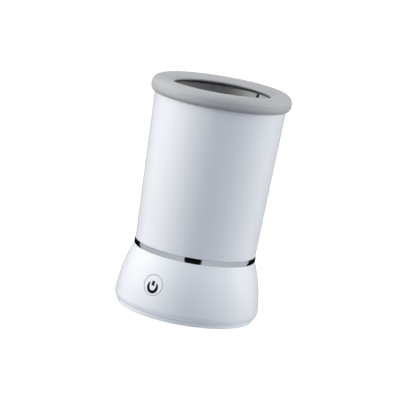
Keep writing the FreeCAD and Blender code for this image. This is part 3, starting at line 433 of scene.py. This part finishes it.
def add_floor_mat():
    """Silicone disc on the sleeve's floor with three rings of upright bristles."""
    rng = random.Random(11)
    outer = profile((25.2, 68.02), (44.75, 68.02), (44.75, 68.7), ((44.6, 69.0), (44.2, 69.08)),
                    (25.8, 69.08), ((25.35, 68.95), (25.2, 68.6)), fine=4)
    inner = profile((16.05, 68.02), (19.8, 68.02), (19.8, 68.7), ((19.65, 69.0), (19.2, 69.08)),
                    (16.7, 69.08), ((16.25, 68.95), (16.05, 68.6)), fine=4)
    web = [(0, 68.02), (2.6, 68.02), (2.7, 68.4), (2.7, 68.8), (2.5, 69.05), (0, 69.08)]
    parts = [lathe("mat", outer, 160), lathe("mat_inner", inner, 96)]
    for k in range(WEB_COUNT):
        place_of_web = Matrix.Translation(around(WEB_CIRCLE, k, WEB_COUNT))
        parts.append(lathe("web", web, 24, closed=False, matrix=place_of_web))
    for radius, count in MAT_RINGS:
        for k in range(count):
            root = Matrix.Translation(around(radius, k, count) + Vector((0, 0, MAT_TOP * MM)))
            parts.append(bristle(*MAT_BRISTLE, rng.uniform(*MAT_BEND), rng.uniform(*MAT_SPIN), root))
    return piece_of("floor_bristles_soft", joined("floor_bristles_soft", parts), "bristle_silicone", "brush",
                    "floor_bristles", angle=50)


add_collar()
add_liner()
add_floor_mat()

# ---- seals, pads and port cover -----------------------------------------------------------------


SEAL_CIRCLE = 49.85           # of the ring's own middle, about the axis; millimetres
SEAL_HEIGHT = 51.5
SEAL_THICK = 1.03             # radius of its section
SEAL_FLAT = 49.93             # the base's socket, at 50, presses it flat there
SEAL_POINTS = 20


def add_seals():
    """The cup's ring, and the two lip seals round the shafts."""
    turns = [2 * math.pi * k / SEAL_POINTS for k in range(SEAL_POINTS)]
    ring = [(min(SEAL_CIRCLE - SEAL_THICK * math.cos(turn), SEAL_FLAT),
             SEAL_HEIGHT + SEAL_THICK * math.sin(turn)) for turn in turns]
    piece_of("cup_seal_ring_soft", lathe("cup_seal_ring_soft", ring, 192), "seal_rubber", "cup",
             "cup_seal_ring")

    def lip(name, bottom, top, body, node):
        outline = profile((6.46, bottom + 0.04), (6.46, top - 0.3), ((6.38, top - 0.1), (6.15, top - 0.03)),
                          (5.45, top - 0.03), ((5.3, top - 0.15), (5.3, top - 0.4)), (5.3, bottom + 1.05),
                          (4.25, bottom + 1.65), (3.85, top - 0.75), ((3.7, top - 0.5), (3.45, top - 0.42)),
                          (3.08, top - 0.62), (3.05, top - 0.95), (3.62, bottom + 0.04), fine=4)
        piece_of(name, lathe(name, outline, 96), "seal_rubber", body, node)

    lip("output_seal_soft", 44.0, 47.2, "base", "output_seal")
    lip("cup_shaft_seal_soft", 61.5, 65.0, "cup", "cup_shaft_seal")


PAD_CIRCLE = 46.0


def add_foot_pads():
    """Round pads with an eased edge and two fine grip rings."""
    outline = profile((0, 0.0), (2.2, 0.0), (2.35, 0.22), (2.75, 0.22), (2.9, 0.0), (4.1, 0.0), (4.25, 0.22),
                      (4.65, 0.22), (4.8, 0.0), (5.6, 0.0), ((5.88, 0.12), (5.98, 0.4)), (5.98, 1.55),
                      (0, 1.55), fine=5)
    pads = [lathe("pad", outline, 64, closed=False, matrix=Matrix.Translation(around(PAD_CIRCLE, k, 4)))
            for k in range(4)]
    piece_of("foot_pads_soft", joined("foot_pads_soft", pads), "foot_rubber", "base", "foot_pads")


# the bell's outside, in its section: an arc from its top to near its widest, then a straight run; millimetres
BELL_TOP = (52.65, 53.3)
BELL_MIDDLE = (59.3, 32.5)
BELL_LOW = (62.3, 12.5)
BELL_WIDEST = (62.5, 10.4)
BELL_ARC = circle_through(BELL_TOP, BELL_MIDDLE, BELL_LOW)


def bell_radius(height):
    cx, cy, radius = BELL_ARC
    if height >= BELL_LOW[1]:
        return cx + math.sqrt(radius ** 2 - (height - cy) ** 2)
    slope = (BELL_WIDEST[0] - BELL_LOW[0]) / (BELL_LOW[1] - BELL_WIDEST[1])
    return BELL_LOW[0] + slope * (BELL_LOW[1] - height)


def rounded_outline(half_width, half_height, corner, count):
    """Points round a rounded rectangle, as many on each corner as on each side."""
    points = []
    per_corner = count // 8

    def on_corner(quadrant, angle):
        x = (half_width - corner) * (1, -1, -1, 1)[quadrant % 4]
        y = (half_height - corner) * (1, 1, -1, -1)[quadrant % 4]
        return Vector((x + corner * math.cos(angle), y + corner * math.sin(angle)))

    for quadrant in range(4):
        points += [on_corner(quadrant, math.pi / 2 * (quadrant + k / per_corner))
                   for k in range(per_corner + 1)]
        start = points[-1]
        end = on_corner(quadrant + 1, math.pi / 2 * (quadrant + 1))
        points += [start.lerp(end, k / per_corner) for k in range(1, per_corner)]
    return points


def loops_to_mesh(name, loops, start_centre, end_centre):
    """A closed mesh through loops of points, each end closed by a fan about a centre."""
    mesh = bpy.data.meshes.new(name)
    bm = bmesh.new()
    rings = [[bm.verts.new([c * MM for c in point]) for point in loop] for loop in loops]
    for low, high in zip(rings, rings[1:]):
        for k in range(len(low)):
            following = (k + 1) % len(low)
            bm.faces.new((low[k], low[following], high[following], high[k]))
    for ring, centre in ((rings[0], start_centre), (rings[-1], end_centre)):
        middle = bm.verts.new([c * MM for c in centre])
        for k in range(len(ring)):
            bm.faces.new((ring[k], ring[(k + 1) % len(ring)], middle))
    bmesh.ops.recalc_face_normals(bm, faces=bm.faces)
    bm.to_mesh(mesh)
    bm.free()
    return mesh


PORT_HEIGHT = 15.8
FLAP = (8.8, 5.5, 2.4)        # the cover's half width and half height, and its corner radius
FLAP_EDGE = ((2.5, 1.19), (0.4, 1.19), (0.12, 1.1), (0.02, 0.85), (0.02, 0.4), (0.1, 0.16), (0.3, 0.03))
FLAP_STEP = 0.2               # between the loops of its face
FLAP_POINTS = 96              # round each loop
PULL_LIP = (3.4, 3.55, 0.75, 0.62)    # half width, height above the middle, half height, and rise
BORDER = (1.25, 0.22, 0.2)    # the line's inset from the edge, its width and depth
PLUG = (5.9, 3.2, 1.2)
PLUG_POINTS = 64
PLUG_ENDS = (59.22, 61.55)
PLUG_SIDE = ((0.5, 59.22), (0.15, 59.3), (0.05, 59.5), (0.05, 59.9), (0.0, 60.1), (0.0, 60.3), (0.05, 60.5),
             (0.05, 61.55))


def add_port_cover():
    """Soft cover that follows the bell, with a moulded border line, a pull lip and a beaded plug behind."""
    def on_bell(x, up, depth):
        radius = bell_radius(PORT_HEIGHT + up) - depth
        return (x, math.sqrt(radius ** 2 - x ** 2), PORT_HEIGHT + up)

    def lift(x, up, inset):
        lip = math.exp(-(x / PULL_LIP[0]) ** 6 - ((up - PULL_LIP[1]) / PULL_LIP[2]) ** 4)
        line = math.exp(-((inset - BORDER[0]) / BORDER[1]) ** 2)
        return PULL_LIP[3] * lip - BORDER[2] * line

    def inside(shape, inset, least, count):
        return rounded_outline(shape[0] - inset, shape[1] - inset, max(shape[2] - inset, least), count)

    loops = [[on_bell(x, up, depth) for x, up in inside(FLAP, inset, 0.4, FLAP_POINTS)]
             for inset, depth in FLAP_EDGE]
    inset = 3 * FLAP_STEP
    while inset < FLAP[1] - FLAP_STEP:
        outline = inside(FLAP, inset, 0.15, FLAP_POINTS)
        loops.append([on_bell(x, up, -lift(x, up, inset)) for x, up in outline])
        inset += FLAP_STEP
    skin = loops_to_mesh("skin", loops, on_bell(0, 0, FLAP_EDGE[0][1]), on_bell(0, 0, 0.0))
    plug_loops = [[(x, y, PORT_HEIGHT + up) for x, up in inside(PLUG, inset, 0.0, PLUG_POINTS)]
                  for inset, y in PLUG_SIDE]
    plug = loops_to_mesh("plug", plug_loops, *[(0, y, PORT_HEIGHT) for y in PLUG_ENDS])
    piece_of("port_cover_soft", joined("port_cover_soft", [skin, plug]), "port_silicone", "port_flap",
             "port_cover", angle=50)


BUTTON_HEIGHT = 29.5


def add_membrane():
    """Rubber diaphragm behind the button, with a rolled ring that lets the stem travel."""
    outline = profile((1.72, 6.5), (2.6, 6.5), (3.2, 6.62), (6.4, 6.62), ((7.2, 6.42), (8.0, 6.62)),
                      (9.6, 6.62), (10.0, 6.42), (11.15, 6.42), (11.15, 7.18), (9.9, 7.18), (9.6, 7.0),
                      (8.2, 7.0), ((7.2, 6.72), (6.2, 7.0)), (3.2, 7.0), (2.6, 7.15), (1.72, 7.15), fine=8)
    tilt = math.atan2(BUTTON_HEIGHT - BELL_ARC[1], bell_radius(BUTTON_HEIGHT) - BELL_ARC[0])
    into = Vector((0, math.cos(tilt), -math.sin(tilt)))
    up = Vector((0, math.sin(tilt), math.cos(tilt)))
    across = up.cross(into)
    face = Vector((0, -bell_radius(BUTTON_HEIGHT), BUTTON_HEIGHT)) * MM
    frame_of = Matrix(((across.x, up.x, into.x, face.x), (across.y, up.y, into.y, face.y),
                       (across.z, up.z, into.z, face.z), (0, 0, 0, 1)))
    mesh = lathe("button_membrane_soft", outline, 96, matrix=frame_of)
    piece_of("button_membrane_soft", mesh, "seal_rubber", "base", "button_membrane")


LEAD_RADIUS = 0.68
LEAD_Z = 16.0                 # where the leads run, above the main board; millimetres
CONNECTOR_Y = 33.4
PAIR = (-0.9, 0.9)            # how far each lead of a pair lies to the side of its route
MOTOR_PAIR = (-1.6, 1.6)


def add_leads(name, routes):
    """A pair of insulated wires, held by their soldered ends and the housings they run between."""
    curve = bpy.data.curves.new(name, "CURVE")
    curve.dimensions = "3D"
    curve.resolution_u = 24
    curve.bevel_depth = LEAD_RADIUS * MM
    curve.bevel_resolution = 5
    curve.use_fill_caps = True
    for route in routes:
        spline = curve.splines.new("NURBS")
        spline.points.add(len(route) - 1)
        for point, (x, y, z) in zip(spline.points, route):
            point.co = (x * MM, y * MM, z * MM, 1)
        spline.order_u = 3
        spline.use_endpoint_u = True
    curve.materials.append(LOOKS["lead_insulation"])
    leads = bpy.data.objects.new(name + "_soft", curve)
    SCENE.collection.objects.link(leads)
    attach(leads, "base")
    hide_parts(name)


add_seals()
add_foot_pads()
add_port_cover()
add_membrane()
add_leads("battery_leads", [
    [(33.0, -33.0 - s, LEAD_Z), (38.0 + s, -33.0 - s, LEAD_Z), (38.0 + s, 14.0 + 0.6 * s, LEAD_Z),
     (10.0 + s, 29.0 + 0.6 * s, LEAD_Z), (10.0 + s, CONNECTOR_Y, LEAD_Z)] for s in PAIR])
add_leads("button_leads", [
    [(-10.0 + s, -45.337, 30.580), (-10.0 + s, -41.908 + 0.784 * s, 29.875 - 0.161 * s),
     (-37.0 + s, -36.0 + 0.8 * s, 27.0), (-37.0 + s, -20.0, LEAD_Z), (-37.0 + s, 14.0 - 0.6 * s, LEAD_Z),
     (-10.0 + s, 29.0 - 0.6 * s, LEAD_Z), (-10.0 + s, CONNECTOR_Y, LEAD_Z)] for s in PAIR])
add_leads("motor_leads", [
    [(5.127 + s, 24.663, 6.4), (5.127 + s, 29.6, 6.4), (0.6 * s, 29.6, LEAD_Z),
     (0.6 * s, CONNECTOR_Y, LEAD_Z)] for s in MOTOR_PAIR])

# ---- floor, world and lights --------------------------------------------------------------------

AMBIENT = 0.38
AMBIENT_COLOR = (0.63, 0.63, 1.0, 1)
BACKDROP = 1.1                # what the camera sees past the floor
UNLIT = 0.005                 # what polished surfaces see between the panels
FLOOR_SIZE = 30.0             # metres each way from the middle
FLOOR_COLOR = (0.275, 0.28, 0.295, 1)
FLOOR_GLOW = 0.93             # lifts the floor to the backdrop's white, for the camera alone
REFLECTOR = 0.56
REFLECTOR_COLOR = (0.92, 0.97, 1.0, 1)
REFLECTOR_ARC = (16.0, 123.0) # degrees round from the camera
REFLECTOR_DISTANCE = 1.5
REFLECTOR_REACH = 1.3         # above and below the table
REFLECTOR_STEPS = 24


def add_floor():
    """A pale table that reaches past the picture's edges."""
    mesh = bpy.data.meshes.new("floor")
    corners = [(x * FLOOR_SIZE, y * FLOOR_SIZE, 0) for x, y in ((-1, -1), (1, -1), (1, 1), (-1, 1))]
    mesh.from_pydata(corners, [], [(0, 1, 2, 3)])
    floor = bpy.data.objects.new("floor", mesh)
    SCENE.collection.objects.link(floor)
    material = bpy.data.materials.new("pale_floor")
    material.use_nodes = True
    nodes = material.node_tree.nodes
    links = material.node_tree.links
    nodes.remove(nodes["Principled BSDF"])
    diffuse = nodes.new("ShaderNodeBsdfDiffuse")
    diffuse.inputs["Color"].default_value = FLOOR_COLOR
    glow = nodes.new("ShaderNodeEmission")
    seen = nodes.new("ShaderNodeLightPath")
    level = nodes.new("ShaderNodeMath")
    level.operation = "MULTIPLY"
    level.inputs[1].default_value = FLOOR_GLOW
    links.new(seen.outputs["Is Camera Ray"], level.inputs[0])
    links.new(level.outputs[0], glow.inputs["Strength"])
    both = nodes.new("ShaderNodeAddShader")
    links.new(diffuse.outputs[0], both.inputs[0])
    links.new(glow.outputs[0], both.inputs[1])
    links.new(both.outputs[0], nodes["Material Output"].inputs["Surface"])
    mesh.materials.append(material)
    floor.visible_glossy = False


def set_world():
    """White for the camera, near black for polished surfaces, and a soft bluish light for the rest."""
    world = bpy.data.worlds.new("studio")
    SCENE.world = world
    world.use_nodes = True
    nodes = world.node_tree.nodes
    links = world.node_tree.links
    ambient = nodes["Background"]
    dark = nodes.new("ShaderNodeBackground")
    white = nodes.new("ShaderNodeBackground")
    for shader, color, strength in ((ambient, AMBIENT_COLOR, AMBIENT), (dark, (1, 1, 1, 1), UNLIT),
                                    (white, (1, 1, 1, 1), BACKDROP)):
        shader.inputs["Color"].default_value = color
        shader.inputs["Strength"].default_value = strength
    seen = nodes.new("ShaderNodeLightPath")
    mix = nodes.new("ShaderNodeMixShader")
    glossy = nodes.new("ShaderNodeMixShader")
    links.new(seen.outputs["Is Glossy Ray"], glossy.inputs["Fac"])
    links.new(ambient.outputs[0], glossy.inputs[1])
    links.new(dark.outputs[0], glossy.inputs[2])
    links.new(seen.outputs["Is Camera Ray"], mix.inputs["Fac"])
    links.new(glossy.outputs[0], mix.inputs[1])
    links.new(white.outputs[0], mix.inputs[2])
    links.new(mix.outputs[0], nodes["World Output"].inputs["Surface"])
    SCENE.view_settings.view_transform = "Standard"


def studio_point(degrees, distance, height):
    """A point round the object; degrees are counted from the camera's side, positive to its right."""
    angle = math.radians(degrees)
    flat = TOWARDS * math.cos(angle) + SIDEWAYS * math.sin(angle)
    return Vector((flat.x * distance, flat.y * distance, height))


def add_light(name, degrees, distance, height, width, tall, power, color, aim=AIM):
    """A soft rectangular lamp that faces the aim point and that polished surfaces don't see."""
    data = bpy.data.lights.new(name, "AREA")
    data.shape = "RECTANGLE"
    data.size = width
    data.size_y = tall
    data.energy = power
    data.color = color
    light = bpy.data.objects.new(name, data)
    SCENE.collection.objects.link(light)
    light.location = studio_point(degrees, distance, height)
    light.rotation_euler = (aim - light.location).to_track_quat("-Z", "Y").to_euler()
    light.visible_glossy = False
    return light


def pieces_named(group_name, starts):
    """A group of the pieces whose names start so, for a lamp that is linked to them alone."""
    group = bpy.data.collections.new(group_name)
    for piece in SCENE.objects:
        if piece.name.startswith(starts):
            group.objects.link(piece)
    return group


def add_inner_light():
    """A soft lamp from the left that reaches over the rim and lights only the inside of the sleeve."""
    light = add_light(*INSIDE_LAMP, aim=MOUTH)
    inside = pieces_named("inside", ("brush_sleeve", "bristle_liner_soft", "floor_bristles_soft"))
    light.light_linking.receiver_collection = inside


def add_table_light():
    """A lamp below the table, which doesn't shade it, for the faces of the base that look down."""
    light = add_light(*TABLE_LAMP)
    lower = pieces_named("lower", ("base_shell", "bottom_cover"))
    light.light_linking.receiver_collection = lower
    light.light_linking.blocker_collection = lower


def add_reflectors():
    """Pale panels to both sides that only polished surfaces see, with darkness ahead and behind."""
    for side in (-1, 1):
        mesh = bpy.data.meshes.new("reflector")
        verts = []
        for k in range(REFLECTOR_STEPS + 1):
            degrees = side * (REFLECTOR_ARC[0] + (REFLECTOR_ARC[1] - REFLECTOR_ARC[0]) * k / REFLECTOR_STEPS)
            verts.append(studio_point(degrees, REFLECTOR_DISTANCE, -REFLECTOR_REACH))
            verts.append(studio_point(degrees, REFLECTOR_DISTANCE, REFLECTOR_REACH))
        faces = [(2 * k, 2 * k + 2, 2 * k + 3, 2 * k + 1) for k in range(REFLECTOR_STEPS)]
        mesh.from_pydata([tuple(v) for v in verts], [], faces)
        panel = bpy.data.objects.new("reflector_left" if side < 0 else "reflector_right", mesh)
        SCENE.collection.objects.link(panel)
        material = bpy.data.materials.new("reflector_glow")
        material.use_nodes = True
        nodes = material.node_tree.nodes
        nodes.remove(nodes["Principled BSDF"])
        glow = nodes.new("ShaderNodeEmission")
        glow.inputs["Color"].default_value = REFLECTOR_COLOR
        glow.inputs["Strength"].default_value = REFLECTOR
        material.node_tree.links.new(glow.outputs[0], nodes["Material Output"].inputs["Surface"])
        mesh.materials.append(material)
        panel.visible_camera = False
        panel.visible_diffuse = False
        panel.visible_transmission = False
        panel.visible_volume_scatter = False
        panel.visible_shadow = False


# name, degrees round from the camera, distance, height, width, tallness, power, colour
LIGHTS = [
    ("key_left", -88, 1.25, 0.45, 0.9, 1.3, 14.4, (1.0, 0.94, 0.82)),
    ("fill_right", 92, 1.35, 0.40, 0.9, 1.3, 21.2, (0.99, 1.0, 0.87)),
    ("front_left", -50, 1.3, 0.5, 0.7, 1.2, 5.4, (0.93, 1.0, 0.88)),
    ("high_left", -35, 0.9, 1.5, 1.0, 1.0, 7.2, (0.90, 1.0, 0.78)),
    ("overhead", 180, 0.05, 1.9, 1.4, 1.4, 8.0, (1.0, 0.91, 0.65)),
]
# the same, for the two lamps that light only a few pieces
INSIDE_LAMP = ("inside_left", -88, 0.9, 0.50, 0.35, 0.25, 13.0, (0.88, 0.99, 1.0))
TABLE_LAMP = ("below_table", 0, 0.0, -0.5, 0.25, 0.25, 1.9, (0.92, 0.96, 1.0))
MOUTH = Vector((0, 0, 0.19))  # where the inside lamp is aimed

add_floor()
set_world()
for light in LIGHTS:
    add_light(*light)
add_inner_light()
add_table_light()
add_reflectors()
